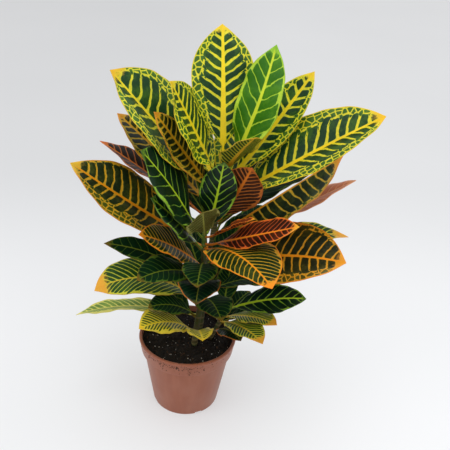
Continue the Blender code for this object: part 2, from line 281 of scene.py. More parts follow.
# What every look sets: the colours, half width of midrib and veins, pairs of veins, how far out
# the islands reach (a share of the half blade), and width of the plain edge. Millimetres.
LOOKS = {
    "gold": dict(
        midrib=(240, 208, 32), vein=(230, 214, 46), halo=(102, 146, 32), field=(20, 56, 26),
        margin=(206, 176, 40), tip=(234, 194, 44), under=(128, 122, 62),
        rib=3.9, line=1.50, pairs=12, arch=0.70, outer=1.0, edge=0.5, slant=0.50,
    ),
    "broad": dict(
        midrib=(248, 220, 40), vein=(236, 222, 56), halo=(110, 154, 40), field=(30, 66, 34),
        margin=(214, 164, 40), tip=(236, 180, 46), under=(128, 122, 62),
        rib=3.8, line=1.70, pairs=11, arch=0.70, outer=1.0, edge=0.6, slant=0.48,
    ),
    "netted": dict(
        midrib=(238, 200, 30), vein=(230, 208, 46), halo=(100, 142, 32), field=(16, 54, 24),
        margin=(222, 180, 40), tip=(236, 184, 42), under=(150, 132, 56),
        rib=3.8, line=1.7, pairs=14, arch=0.69, outer=1.0, edge=0.8, slant=0.55,
    ),
    "green": dict(
        midrib=(214, 226, 56), vein=(184, 214, 62), halo=(116, 168, 36), field=(52, 110, 20),
        margin=(140, 176, 50), tip=(120, 178, 50), under=(110, 140, 80),
        rib=3.2, line=0.80, pairs=9, arch=0.90, edge=0.5, slant=0.75, fade=0.8,
    ),
    "shade": dict(
        midrib=(186, 214, 44), vein=(140, 182, 52), halo=(22, 66, 32), field=(8, 36, 22),
        margin=(84, 104, 44), tip=(60, 92, 40), under=(78, 96, 60),
        rib=2.0, line=0.95, pairs=8, arch=0.94, edge=0.4, slant=0.85,
        gloss=0.36, fade=1.15,
    ),
    "dim": dict(
        midrib=(112, 124, 40), vein=(80, 104, 36), halo=(28, 62, 26), field=(14, 42, 22),
        margin=(104, 76, 30), tip=(112, 84, 32), under=(50, 52, 26),
        rib=1.2, line=0.25, pairs=11, arch=0.92, edge=0.4, gloss=0.6, sheen=0.06,
    ),
    "orange": dict(
        midrib=(242, 148, 26), vein=(228, 164, 40), halo=(120, 126, 34), field=(30, 44, 22),
        margin=(214, 128, 34), tip=(232, 190, 60), under=(150, 92, 48),
        rib=2.8, line=1.10, pairs=15, arch=0.78, outer=0.8, edge=0.9, slant=0.30, skew=-0.22,
    ),
    "sunset": dict(
        midrib=(244, 144, 28), vein=(230, 152, 38), halo=(124, 110, 32), field=(32, 38, 20),
        margin=(222, 124, 32), tip=(232, 152, 40), under=(160, 96, 40),
        rib=2.8, line=0.95, pairs=15, arch=0.80, outer=0.8, edge=1.0, slant=0.30, skew=0.20,
    ),
    # A darker copy of amber: painted shade for a leaf that lies in the shade of the leaf above it.
    "amber_in_painted_shade": dict(
        midrib=(196, 128, 32), vein=(172, 132, 40), halo=(84, 92, 30), field=(16, 30, 18),
        margin=(170, 108, 38), tip=(196, 122, 40), under=(156, 112, 42),
        rib=3.8, line=1.10, pairs=14, arch=0.86, outer=0.4, edge=0.8, slant=0.45, shown=0.9,
    ),
    "amber": dict(
        midrib=(222, 158, 32), vein=(206, 162, 42), halo=(122, 122, 34), field=(22, 34, 20),
        margin=(196, 126, 40), tip=(214, 140, 44), under=(184, 118, 56),
        rib=2.8, line=1.00, pairs=15, arch=0.86, outer=0.4, edge=0.9, slant=0.45, shown=0.85,
    ),
    "ribbed": dict(
        midrib=(222, 168, 42), vein=(196, 176, 52), halo=(110, 140, 36), field=(26, 54, 26),
        margin=(196, 150, 48), tip=(216, 168, 44), under=(128, 124, 48),
        rib=4.6, line=0.60, pairs=15, arch=0.92, edge=0.8, slant=0.80, shown=0.93,
    ),
    "rust": dict(
        midrib=(226, 124, 36), vein=(196, 112, 46), halo=(110, 58, 28), field=(34, 24, 16),
        margin=(176, 92, 44), tip=(206, 108, 44), under=(176, 92, 48),
        rib=3.0, line=0.75, pairs=14, arch=0.94, edge=0.8, slant=0.60, shown=0.95,
    ),
    "salmon": dict(
        midrib=(242, 178, 126), vein=(236, 160, 112), halo=(228, 140, 94), field=(208, 118, 78),
        margin=(230, 148, 92), tip=(238, 160, 106), under=(234, 154, 108),
        rib=1.4, line=0.4, pairs=15, arch=0.92, edge=0.8, slant=0.9, shown=0.7,
    ),
    "ember": dict(
        midrib=(234, 136, 34), vein=(214, 98, 44), halo=(130, 52, 28), field=(44, 22, 14),
        margin=(222, 122, 36), tip=(234, 168, 46), under=(176, 92, 48),
        rib=1.9, line=0.55, pairs=15, arch=0.95, edge=1.1, slant=1.0, shown=0.9,
    ),
    "striped": dict(
        midrib=(216, 180, 50), vein=(212, 204, 62), halo=(112, 146, 38), field=(36, 70, 28),
        margin=(176, 142, 48), tip=(232, 158, 56), under=(140, 118, 62),
        rib=1.8, line=0.60, pairs=17, arch=0.94, edge=0.6, slant=0.9, ends=0.84,
        shown=0.7, sheen=0.14,
    ),
    "olive": dict(
        midrib=(176, 186, 84), vein=(176, 178, 104), halo=(116, 120, 56), field=(70, 76, 34),
        margin=(132, 120, 56), tip=(118, 108, 48), under=(86, 84, 46),
        rib=0.9, line=0.45, pairs=12, arch=0.95, edge=0.5, slant=2.2,
        shown=0.92, sheen=0.12,
    ),
    "flame": dict(
        midrib=(234, 134, 28), vein=(208, 148, 42), halo=(104, 108, 30), field=(24, 42, 20),
        margin=(228, 124, 32), tip=(234, 136, 38), under=(84, 62, 26),
        rib=2.0, line=0.65, pairs=17, arch=0.95, edge=1.3, slant=1.0,
        shown=0.97, sheen=0.08,
    ),
    "edged": dict(
        midrib=(120, 116, 40), vein=(60, 80, 34), halo=(22, 48, 26), field=(12, 34, 22),
        margin=(190, 104, 34), tip=(74, 60, 30), under=(36, 44, 26),
        rib=1.0, line=0.10, pairs=12, arch=0.95, edge=1.1, slant=0.8, shown=0.7,
        sheen=0.10,
    ),
    "pale": dict(
        midrib=(214, 204, 98), vein=(214, 206, 108), halo=(164, 178, 80), field=(104, 134, 62),
        margin=(208, 196, 92), tip=(214, 202, 104), under=(170, 166, 96),
        rib=1.5, line=0.85, pairs=17, arch=0.80, edge=1.8, slant=1.0, sheen=0.12,
    ),
    "lemon": dict(
        midrib=(238, 208, 46), vein=(230, 206, 64), halo=(160, 158, 48), field=(68, 88, 32),
        margin=(216, 186, 58), tip=(234, 190, 44), under=(150, 140, 60),
        rib=1.9, line=0.95, pairs=15, arch=0.82, edge=2.4, slant=1.0, shown=0.8,
        sheen=0.10,
    ),
}
# What a look has where its own row says nothing: lean of the veins, roughness, how much of the
# pattern the underside shows, how fast a vein thins outwards, how much further out the islands
# of one half reach than those of the other, where the plain tip begins, the specular level, and
# how strong the outer net of small cells is.
SHARED = dict(
    slant=0.6, gloss=0.42, shown=0.45, fade=0.45, skew=0.0, ends=0.91, sheen=0.24, outer=0.0,
)

# Which look each leaf of a stem wears, in the order of its rows above.
WORN = {
    "tall": (
        "dim", "pale", "dim", "striped", "dim", "dim", "dim", "dim", "flame", "sunset", "dim",
        # The sixteenth leaf of the tall stem wears the darker amber, as painted shade.
        "dim", "orange", "striped", "dim", "amber_in_painted_shade", "salmon", "rust", "rust", "dim", "amber",
        "gold", "netted", "amber", "broad", "gold", "gold", "gold", "green", "ribbed", "gold",
        "dim", "dim",
    ),
    "middle": (
        "lemon", "lemon", "dim", "dim", "edged", "dim", "flame", "ember", "shade", "ember",
        "olive", "shade", "shade", "dim", "dim",
    ),
    "short": ("dim", "edged", "dim", "striped", "striped", "dim", "shade"),
}


def soft_least(first, second, reach):
    """The smaller of two distances, rounded where they meet."""
    return first.math("SMOOTH_MIN", second, reach)


def leaf_finish(name, look):
    """Veined blade. Everything is a distance in millimetres. A dark island lies between two side
    veins, off the midrib and inside the line where the veins fork. Past that line lies a net of
    small cells, inside the margin. The least of an island's distances, rounded, is how deep a
    spot lies in it, and the greater of island and cell is what is painted."""
    sheen = look["sheen"]
    kit = Finish(name, Coat_Weight=sheen * 0.2, Coat_Roughness=0.3, Specular_IOR_Level=sheen)
    colour = {key: tint(*value) for key, value in look.items() if isinstance(value, tuple)}
    flat = kit.attribute("leaf_flat")
    along, across, number = kit.split(flat)
    order, reach, share = kit.split(kit.attribute("leaf_vein"))
    below, half, pitch = kit.split(kit.attribute("leaf_side"))
    wide = kit.noise(flat, 0.055, 2.0)
    fine = kit.noise(flat, 0.30, 3.0, 0.6)
    grain = kit.noise(flat, 1.4, 2.0)
    off = abs(across)
    edge_gap = half - off

    # Side veins: whole numbers of a wobbled count along the blade, staggered left and right.
    right = across.math("GREATER_THAN", 0.0)
    count = order + right * 0.5 + (wide - 0.5) * 0.7 + (fine - 0.5) * 0.06
    island = count.math("FLOOR") + right * 57.0
    chance = kit.node("ShaderNodeTexWhiteNoise", {"noise_dimensions": "1D"}, {"W": island})
    beside = abs(count.math("FRACT") - 0.5)  # 0 at an island's middle, 0.5 on a vein
    line = (1.0 - reach * look["fade"]) * look["line"] + (fine - 0.5) * 0.3
    vein_gap = (0.5 - beside) * pitch - line
    rib_gap = off - (1.0 - share ** 0.8 * 0.72) * look["rib"]
    arch = look["arch"] + (chance - 0.5) * 0.16 + (fine - 0.5) * 0.08
    arch = arch + (right - 0.5) * look["skew"]
    field = soft_least(soft_least(vein_gap, rib_gap, 2.6), (arch - reach) * half, 4.0)
    outside = kit.smooth(reach - arch, -0.06, 0.06)
    if look["outer"]:
        fork = arch + 0.03 - kit.smooth(beside, 0.20, 0.5) * 0.20
        past_fork = (reach - fork) * half - 0.7
        spot = {0: along * 0.135 + number * 13.7, 1: across * 0.15}
        spot = kit.node("ShaderNodeCombineXYZ", {}, spot)
        net = kit.node(
            "ShaderNodeTexVoronoi",
            {"feature": "DISTANCE_TO_EDGE", "voronoi_dimensions": "2D"},
            {"Vector": spot, "Scale": 1.0, "Randomness": 0.75},
        )
        second = soft_least(past_fork, edge_gap - look["edge"] - 0.4, 1.0)
        second = soft_least(second, net * 7.0 - 0.52, 1.2) * look["outer"]
        field = field.math("MAXIMUM", second)
    tip = kit.smooth(share + (fine - 0.5) * 0.10, look["ends"], look["ends"] + 0.07)
    field = (field + (wide - 0.5) * 0.4 + (fine - 0.5) * 0.3) * (1.0 - tip) - tip

    # Colours, from vein through halo to field, then the midrib, margin and tip over them.
    cloud = kit.smooth(wide + (fine - 0.5) * 0.6, 0.40, 0.75) * 0.22
    deep = kit.blend(cloud, colour["field"], colour["halo"])
    speck = kit.smooth(grain + fine * 0.4, 0.86, 1.0) * 0.30
    deep = kit.blend(speck + outside * 0.30, deep, colour["halo"])
    faded = kit.smooth(fine + grain * 0.3, 0.45, 0.85) * 0.30
    pale = kit.blend(faded, colour["vein"], colour["halo"])
    paint = kit.blend(kit.smooth(field, -0.20, 0.25), pale, colour["halo"])
    paint = kit.blend(kit.smooth(field, 0.05, 0.70), paint, deep)
    paint = kit.blend(kit.smooth(rib_gap, 0.35, -0.35) * 0.95, paint, colour["midrib"])
    rim = kit.smooth(edge_gap + (fine - 0.5) * 1.0, look["edge"] + 0.4, look["edge"] * 0.4)
    paint = kit.blend(rim * 0.85, paint, colour["margin"])
    paint = kit.blend(tip * 0.85, paint, colour["tip"])
    under = kit.blend(look["shown"], colour["under"], paint)
    paint = kit.blend(kit.smooth(below, 0.4, 0.6), paint, under)
    tone = {"Hue": 0.5, "Saturation": 1.0, "Value": (wide - 0.5) * 0.4 + 1.0, "Color": paint}
    kit.feed(Base_Color=kit.node("ShaderNodeHueSaturation", {}, tone))
    kit.feed(Roughness=(fine - 0.5) * 0.14 + look["gloss"] + below * 0.12)
    relief = kit.smooth(field, -0.6, 1.3) * (1.0 - below * 2.0) + grain * 0.10
    kit.bump(relief, 0.5, 0.0005)
    return kit.material


# ---------------------------------------------------------------- other finishes


def pot_finish():
    """Moulded terracotta-brown plastic: faint flow streaks down the wall, scuffs, soil marks."""
    kit = Finish("moulded terracotta plastic", Specular_IOR_Level=0.45)
    here = kit.place()
    _, _, up = kit.split(here)
    streak = kit.noise(kit.scaled(here, 0.10, 0.10, 0.006), 1.0, 3.0, 0.6)
    cloud = kit.noise(kit.scaled(here, 0.03, 0.03, 0.03), 1.0, 2.0)
    grain = kit.noise(here, 1.1, 2.0)
    base = kit.blend(kit.smooth(streak, 0.35, 0.68), tint(138, 77, 53), tint(146, 85, 61))
    base = kit.blend(kit.smooth(cloud, 0.4, 0.7) * 0.4, base, tint(152, 98, 78))
    dust = kit.smooth(kit.noise(here, 0.12, 4.0, 0.7), 0.54, 0.76) * kit.smooth(up, 62.0, 96.0)
    base = kit.blend(dust * 0.45, base, tint(92, 58, 44))
    scuff = kit.smooth(kit.noise(kit.scaled(here, 0.6, 0.6, 0.08), 1.0, 3.0, 0.7), 0.62, 0.78)
    base = kit.blend(scuff * 0.14, base, tint(190, 146, 126))
    kit.feed(Base_Color=base)
    kit.feed(Roughness=(streak - 0.5) * 0.14 + 0.42 + dust * 0.3)
    kit.bump(grain * 0.4 + streak, 0.18, 0.0005)
    return kit.material


def peat_finish(name, dark, light, scale):
    """Damp fibrous matter: two browns broken up by noise, rough and dull."""
    kit = Finish(name, Specular_IOR_Level=0.25)
    here = kit.place()
    lump = kit.noise(here, scale, 4.0, 0.7)
    bit = kit.noise(here, scale * 5.0, 3.0, 0.6)
    base = kit.blend(kit.smooth(lump + (bit - 0.5) * 0.7, 0.4, 0.75), tint(*dark), tint(*light))
    kit.feed(Base_Color=base)
    kit.feed(Roughness=lump * 0.3 + 0.62)
    kit.bump(lump + bit * 0.6, 0.8, 0.0012)
    return kit.material


def bark_finish():
    """Young green-brown bark: pale rings of leaf scars, fine lengthwise cracks, corky specks."""
    kit = Finish("young green bark", Specular_IOR_Level=0.2)
    here = kit.place()
    scar, height, _ = kit.split(kit.attribute("stem_scar"))
    crack = kit.noise(kit.scaled(here, 0.9, 0.9, 0.10), 1.0, 4.0, 0.7)
    patch = kit.noise(here, 0.09, 3.0, 0.6)
    speck = kit.noise(here, 0.9, 2.0)
    base = kit.blend(kit.smooth(patch, 0.38, 0.62), tint(66, 76, 42), tint(76, 66, 44))
    base = kit.blend(kit.smooth(crack, 0.52, 0.7) * 0.6, base, tint(56, 46, 30))
    base = kit.blend(kit.smooth(speck, 0.66, 0.76) * 0.5, base, tint(118, 108, 76))
    base = kit.blend(kit.smooth(scar, 0.25, 0.8) * 0.8, base, tint(110, 100, 66))
    base = kit.blend(kit.smooth(height, 0.75, 1.0) * 0.6, base, tint(104, 140, 52))
    kit.feed(Base_Color=base)
    kit.feed(Roughness=crack * 0.3 + 0.42)
    kit.bump(crack + scar * 0.5, 0.6, 0.0006)
    return kit.material


def floor_finish():
    """Plain pale floor that glows a little, a painted light that keeps the shadows on it faint,
    with painted shade making it dimmer towards the back and the left.
    """
    # Its emission is painted light: the floor glows so that the shadows cast on it stay faint.
    kit = Finish("pale floor", Roughness=0.6, Specular_IOR_Level=0.2, Emission_Strength=0.42)
    place = kit.place()
    x, y, _ = kit.split(place)
    # Painted shade: darker towards the back and the left, where less of the room's light falls.
    shade = kit.smooth(y, 0.0, 800.0) * 0.17 + kit.smooth(x, 350.0, -350.0) * 0.08
    cloud = kit.noise(place, 0.0012, 2.0)
    pale = kit.blend(cloud, tint(176, 178, 180), tint(188, 189, 191))
    kit.feed(Base_Color=kit.blend(shade, pale, tint(0, 0, 0)))
    kit.feed(Emission_Color=kit.blend(shade, tint(255, 255, 255), tint(0, 0, 0)))
    return kit.material


# ---------------------------------------------------------------- meshes


def make_piece(name, points, faces, material, slot, replaced=(), attributes=None, angle=40):
    """Puts points (millimetres) and faces into a mesh that rides on the body."""
    mesh = bpy.data.meshes.new(name)
    points = np.asarray(points, float) * MM
    mesh.from_pydata(points.tolist(), [], [list(face) for face in faces])
    mesh.update()
    for key, values in (attributes or {}).items():
        layer = mesh.attributes.new(key, "FLOAT_VECTOR", "POINT")
        layer.data.foreach_set("vector", np.asarray(values, np.float32).ravel())
    mesh.polygons.foreach_set("use_smooth", [True] * len(mesh.polygons))
    mesh.set_sharp_from_angle(angle=math.radians(angle))
    mesh.materials.append(material)
    piece = bpy.data.objects.new(name, mesh)
    bpy.context.scene.collection.objects.link(piece)
    if slot:
        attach(piece, "root")
        if replaced:
            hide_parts(*replaced)
    return piece


def grid_faces(rows, columns, start=0, wrap=False):
    """Quads of a rows by columns grid of points, closed round the columns if wrapped."""
    low = np.arange(rows - 1)[:, None] * columns
    high = low + columns
    c = np.arange(columns if wrap else columns - 1)[None, :]
    after = (c + 1) % columns
    return np.stack([low + c, low + after, high + after, high + c], -1).reshape(-1, 4) + start


def stem_point(stem, height):
    """Centre of a stem at a height: straight from foot to tip, plus a bow of sine squared."""
    foot, tip, bow, _, _ = STEMS[stem]
    share = (np.asarray(height, float) - SOIL_LEVEL) / (tip[2] - SOIL_LEVEL)
    swing = np.sin(math.pi * np.clip(share, 0, 1)) ** 2
    x = foot[0] + (tip[0] - foot[0]) * share + bow[0] * swing
    y = foot[1] + (tip[1] - foot[1]) * share + bow[1] * swing
    return np.stack([x, y, np.asarray(height, float) + 0 * share], -1)


def stem_radius(stem, height):
    """Radius of a stem at a height, thinning evenly from foot to tip."""
    _, tip, _, low, high = STEMS[stem]
    return low + (high - low) * (np.asarray(height, float) - SOIL_LEVEL) / (tip[2] - SOIL_LEVEL)


def leaf_line(stem, height, heading, rise, droop, length, roll):
    """Stations along a leaf, with the point, the way across and the way up at each. The
    elevation falls from the rise by the droop, and its running sum is the line."""
    fine = 6  # steps of the running sum in each row of the leaf
    steps = np.linspace(0, 1, (LEAF_ROWS - 1) * fine + 1)
    near_root = np.clip(1 - steps / STALK_SHARE, 0, 1) ** 2
    elevation = np.radians(rise - droop * steps**1.3 - STALK_LEAN * near_root)
    azimuth = math.radians(heading)
    out = np.array((math.cos(azimuth), math.sin(azimuth), 0))
    level = np.array((-math.sin(azimuth), math.cos(azimuth), 0))
    tangent = np.outer(np.cos(elevation), out) + np.outer(np.sin(elevation), (0, 0, 1))
    spine = np.zeros((len(steps), 3))
    spine[1:] = np.cumsum((tangent[1:] + tangent[:-1]) / 2, axis=0) * length / (len(steps) - 1)
    spine += stem_point(stem, height) + out * (stem_radius(stem, height) + GAP)
    turn = np.radians(roll * np.clip(steps / 0.35, 0, 1))[:, None]
    upright = np.cross(tangent, level)
    side = (level * np.cos(turn) + upright * np.sin(turn))[::fine, None]
    up = (upright * np.cos(turn) - level * np.sin(turn))[::fine, None]
    return steps[::fine, None], spine[::fine, None], side, up


def half_width(share, width):
    """Half the blade's width at a share of the blade's length: full at WIDEST, pointed at both
    ends."""
    grown = 1 - (1 - np.minimum(share / WIDEST, 1)) ** 1.9
    shrunk = 1 - (np.maximum(share - WIDEST, 0) / (1 - WIDEST)) ** 2.5
    return width / 2 * np.where(share < WIDEST, grown, shrunk)


def shell_faces(rows, columns):
    """Faces of two grids, one after the other, joined along their four edges."""
    count = rows * columns
    top = grid_faces(rows, columns)
    bottom = grid_faces(rows, columns, count)[:, ::-1]
    r = np.arange(rows - 1) * columns
    left = np.stack([r, r + columns, r + columns + count, r + count], -1)
    last = r + columns - 1
    right = np.stack([last, last + count, last + columns + count, last + columns], -1)
    c = np.arange(columns - 1)
    root = np.stack([c, c + count, c + 1 + count, c + 1], -1)
    end = c + (rows - 1) * columns
    tip = np.stack([end, end + 1, end + 1 + count, end + count], -1)
    return np.concatenate([top, bottom, left, right, root, tip])


def facing_out(points, faces):
    """The faces, turned over if the volume they close comes out negative."""
    a, b, c, d = (points[faces[:, corner]] for corner in range(4))
    volume = np.einsum("ij,ij->i", a, np.cross(b, c) + np.cross(c, d)).sum()
    return faces[:, ::-1] if volume < 0 else faces


def leaf_piece(stem, number, row, look, material):
    """A closed leaf. Half its width times a spread column goes across the line, folded, cupped
    and waved. The two faces lie half a thickness above and below, thicker at the midrib, round
    at the stalk, and the upper one swells between the side veins."""
    height, heading, rise, droop, length, width, roll, fold, colour = row
    station, spine, side, up = leaf_line(stem, height, heading, rise, droop, length, roll)
    angle = np.linspace(0, math.pi, LEAF_COLUMNS)[None, :]
    across = -0.45 * np.cos(angle) + 0.55 * (2 * angle / math.pi - 1)
    share = np.maximum(0, (station - STALK_SHARE) / (1 - STALK_SHARE))
    half = np.maximum(half_width(share, width), STALK_WIDTH / 2 * (1 - 0.8 * share))
    blade = np.minimum(1, share * 6)
    reach = np.abs(across)
    bend = np.radians(blade * (fold + CUP * reach / 2))
    phase = PHASE * number
    calm = blade * np.minimum(1, half / 15)  # narrow places stay flat
    wave = np.sin(2 * math.pi * WAVES * share + phase + 2 * across)
    wave = WAVE * calm * reach**2 * wave
    ripple = np.sin(2 * math.pi * RIPPLES * share + 3 * phase)
    ripple = RIPPLE * calm * reach**4 * ripple

    # Count of side veins passed, and the swelling between them.
    blade_length = length * (1 - STALK_SHARE)
    off = reach * half
    lean = off * (look["slant"] + 0.25 * reach) / blade_length
    order = look["pairs"] * (share - lean)
    pitch = blade_length / look["pairs"] * 0.88  # square to the slanting veins
    swell = -np.cos(2 * math.pi * (order + 0.5 * (across > 0)))
    swell = SWELL * swell * np.sin(math.pi * np.clip(reach, 0, 1)) * np.minimum(1, half / 12)
    swell = swell * blade * min(1, 13 / look["pairs"])  # less where the veins are close

    rib = STALK_THICKNESS + (MIDRIB_THICKNESS - STALK_THICKNESS) * blade
    rib = rib + (EDGE_THICKNESS - rib) * share
    ridge = (rib - EDGE_THICKNESS) * np.exp(-((off / 1.9) ** 2))
    body = EDGE_THICKNESS * (1 - 0.35 * reach**6)
    round_stalk = (1 - blade) * rib * np.sqrt(np.clip(1 - reach**2, 0.02, 1)) / 2
    above = round_stalk + blade * (body / 2 + 0.3 * ridge) + swell
    under = round_stalk + blade * (body / 2 + 0.7 * ridge) - 0.8 * swell
    centre = spine + side * (half * across * np.cos(bend))[..., None]
    centre = centre + up * (off * np.sin(bend) + wave + ripple)[..., None]
    upper, lower = centre + up * above[..., None], centre - up * under[..., None]
    points = np.concatenate([upper.reshape(-1, 3), lower.reshape(-1, 3)])
    faces = facing_out(points, shell_faces(LEAF_ROWS, LEAF_COLUMNS))

    def spread(*values):
        """Three values as a vector at every point of one face of the leaf."""
        values = [np.broadcast_to(value, (LEAF_ROWS, LEAF_COLUMNS)) for value in values]
        return np.stack(values, -1).reshape(-1, 3)

    flat = spread(blade_length * share, across * half, 50.0 * number + STEM_SEED[stem])
    vein = spread(order, reach, share)
    attributes = {
        "leaf_flat": np.concatenate([flat, flat]),
        "leaf_vein": np.concatenate([vein, vein]),
        "leaf_side": np.concatenate([spread(0.0, half, pitch), spread(1.0, half, pitch)]),
    }
    node = f"{stem}_leaf_{number:02d}"
    slot = f"{colour}_leaf"
    return make_piece(f"{node}_blade", points, faces, material, slot, (node,), attributes, 70)


def stem_piece(stem, material, rng):
    """A tube along the stem's line. Its radius swells at the scar under each leaf and at old
    scars below them, and closes to a rounded bud at the tip."""
    top = STEMS[stem][1][2]
    rings, sides = 220, 28
    heights = np.linspace(SOIL_LEVEL - SOCKET_DEPTH, top - 1, rings)
    scars = [row[0] - 2 for row in LEAVES[stem]]
    scars = np.array(scars + list(np.arange(SOIL_LEVEL + 6, min(scars), 7.0)))
    bumps = np.exp(-(((heights[:, None] - scars[None, :]) / 1.3) ** 2))
    scar = np.clip(bumps.sum(1), 0, 1)
    close = np.sqrt(np.clip((top - heights) / 3.0, 0.03, 1))
    radius = (stem_radius(stem, heights) + 0.40 * scar) * close
    angles = np.linspace(0, 2 * math.pi, sides, endpoint=False)
    lumps = 0.12 * np.sin(3 * angles[None, :] + heights[:, None] * 0.13)
    lumps = lumps + 0.08 * rng.normal(size=(rings, sides))
    wide = radius[:, None] + lumps * close[:, None]
    centre = stem_point(stem, heights)
    ring = np.stack([np.cos(angles)[None, :] * wide, np.sin(angles)[None, :] * wide, 0 * wide], -1)
    points = (centre[:, None, :] + ring).reshape(-1, 3)
    faces = [tuple(face) for face in grid_faces(rings, sides, 0, True)]
    faces.append(tuple(range(sides))[::-1])
    faces.append(tuple(range((rings - 1) * sides, rings * sides)))
    share = (heights - SOIL_LEVEL) / (top - SOIL_LEVEL)
    marks = {"stem_scar": np.repeat(np.stack([scar, share, 0 * share], -1), sides, axis=0)}
    node = f"{stem}_stem"
    return make_piece(f"{node}_bark", points, faces, material, "green_bark", (node,), marks)


def rounded(profile, cut=0.8, bits=4):
    """A profile with each inner corner replaced by a short curve: quadratic between the points
    a cut's length before and after the corner."""
    profile = [np.array(point, float) for point in profile]
    out = [profile[0]]
    for before, corner, after in zip(profile, profile[1:], profile[2:]):
        back, ahead = before - corner, after - corner
        reach = min(cut, 0.45 * np.linalg.norm(back), 0.45 * np.linalg.norm(ahead))
        start = corner + back / np.linalg.norm(back) * reach
        stop = corner + ahead / np.linalg.norm(ahead) * reach
        for t in np.linspace(0, 1, bits):
            out.append((1 - t) ** 2 * start + 2 * t * (1 - t) * corner + t**2 * stop)
    out.append(profile[-1])
    return np.array(out)


def turned(profile, sides):
    """Points and faces of a (radius, height) profile turned about the pot's axis, closed at
    both ends."""
    angles = np.linspace(0, 2 * math.pi, sides, endpoint=False)
    ring = profile[1:-1]
    x = ring[:, 0, None] * np.cos(angles)
    y = ring[:, 0, None] * np.sin(angles)
    points = np.stack([x, y, ring[:, 1, None] + 0 * x], -1).reshape(-1, 3)
    ends = [(0, 0, profile[0][1]), (0, 0, profile[-1][1])]
    faces = [tuple(face) for face in grid_faces(len(ring), sides, 0, True)]
    count = len(points)
    last = count - sides
    for k in range(sides):
        after = (k + 1) % sides
        faces.append((count, after, k))
        faces.append((count + 1, last + k, last + after))
    return np.concatenate([points, ends]), faces


def cutter(name, points, faces):
    """A closed shape that is taken away from another and then removed."""
    mesh = bpy.data.meshes.new(name)
    mesh.from_pydata((np.asarray(points) * MM).tolist(), [], faces)
    made = bpy.data.objects.new(name, mesh)
    bpy.context.scene.collection.objects.link(made)
    return made


def pot_piece(material):
    """The pot's profile turned round, less eight drain holes and four notches in the foot."""

    def wall(height):
        return WALL_FOOT + (WALL_TOP - WALL_FOOT) * height / COLLAR_STEP

    profile = [
        (0, 0), (12, 0), (13, 3), (39.5, 3), (40.5, 0), (43.7, 0), (WALL_FOOT, 0.8),
        (wall(40), 40), (wall(80.6), 80.6), (58, COLLAR_STEP), (61.5, 83.5), (64.2, 100),
        (65, 101.5), (64.4, 103.4), (63.4, POT_HEIGHT), COLLAR_RIM, (60.0, 90), COLLAR_FOOT,
        (56.4, COLLAR_STEP), (wall(40) - WALL, 40), (wall(4.8) - WALL, 4.8), (0, 4.8),
    ]
    points, faces = turned(rounded(profile), POT_SIDES)
    pot = make_piece(
        "nursery_pot", points, faces, material, "pot_plastic", ("pot",), angle=POT_CREASE
    )
    tools = []
    for k in range(DRAIN_HOLES):
        angle = 2 * math.pi * (k + 0.5) / DRAIN_HOLES
        centre = DRAIN_RING * np.array((math.cos(angle), math.sin(angle)))
        around = np.linspace(0, 2 * math.pi, DRAIN_SIDES, endpoint=False)
        rim = centre + DRAIN_RADIUS * np.stack([np.cos(around), np.sin(around)], -1)
        low = np.column_stack([rim, np.full(DRAIN_SIDES, -3.0)])
        high = np.column_stack([rim, np.full(DRAIN_SIDES, 9.0)])
        faces = [tuple(face) for face in grid_faces(2, DRAIN_SIDES, 0, True)]
        faces += [tuple(range(DRAIN_SIDES))[::-1], tuple(range(DRAIN_SIDES, 2 * DRAIN_SIDES))]
        tools.append(cutter(f"drain {k}", np.concatenate([low, high]), faces))
    for k in range(NOTCHES):
        angle = math.radians(NOTCH_TURN + 360 / NOTCHES * k)
        out = np.array((math.cos(angle), math.sin(angle), 0))
        side = np.array((-math.sin(angle), math.cos(angle), 0))
        deep, broad, high = (size / 2 for size in NOTCH_SIZE)
        corners = [
            out * (WALL_FOOT + x) + side * y + np.array((0, 0, z))
            for z in (-high, high)
            for x, y in ((-deep, -broad), (deep, -broad), (deep, broad), (-deep, broad))
        ]
        faces = [(0, 3, 2, 1), (4, 5, 6, 7), (0, 1, 5, 4), (1, 2, 6, 5), (2, 3, 7, 6), (3, 0, 4, 7)]
        tools.append(cutter(f"notch {k}", np.array(corners), faces))
    for tool in tools:
        cut = pot.modifiers.new(tool.name, "BOOLEAN")
        cut.object = tool
        cut.operation = "DIFFERENCE"
        cut.solver = "EXACT"
    graph = bpy.context.evaluated_depsgraph_get()
    done = bpy.data.meshes.new_from_object(pot.evaluated_get(graph))
    pot.modifiers.clear()
    pot.data = done
    pot.data.polygons.foreach_set("use_smooth", [True] * len(pot.data.polygons))
    pot.data.set_sharp_from_angle(angle=math.radians(POT_CREASE))
    for tool in tools:
        bpy.data.objects.remove(tool)
    return pot


def hills(x, y, rng, waves=26, low=6.0, high=34.0):
    """Uneven ground: a sum of sine waves of random heading, length and phase, about -1 to 1."""
    total = 0 * x
    for _ in range(waves):
        length = rng.uniform(low, high)
        heading, phase = rng.uniform(0, 2 * math.pi, 2)
        way = x * math.cos(heading) + y * math.sin(heading)
        total = total + length * np.sin(way * 2 * math.pi / length + phase)
    return total / (0.5 * (low + high)) / math.sqrt(waves)


def brim_radius(height):
    """Inside of the collar at a height, just clear of it."""
    share = (height - COLLAR_FOOT[1]) / (COLLAR_RIM[1] - COLLAR_FOOT[1])
    return COLLAR_FOOT[0] + (COLLAR_RIM[0] - COLLAR_FOOT[0]) * share - GAP


def soil_height(x, y):
    """Top of the potting mix: heaped towards the middle, uneven, level at the wall."""
    far = np.hypot(x, y) / brim_radius(SOIL_LEVEL)
    heap = SOIL_HEAP * (1 - np.clip(far, 0, 1) ** 2)
    rough = hills(x, y, np.random.default_rng(SOIL_SEED))
    fine = hills(x, y, np.random.default_rng(SOIL_SEED + 1), 30, 2.5, 7.0)
    return SOIL_LEVEL + heap + (1.1 * rough + 0.5 * fine) * np.clip((1 - far) * 8, 0.25, 1)


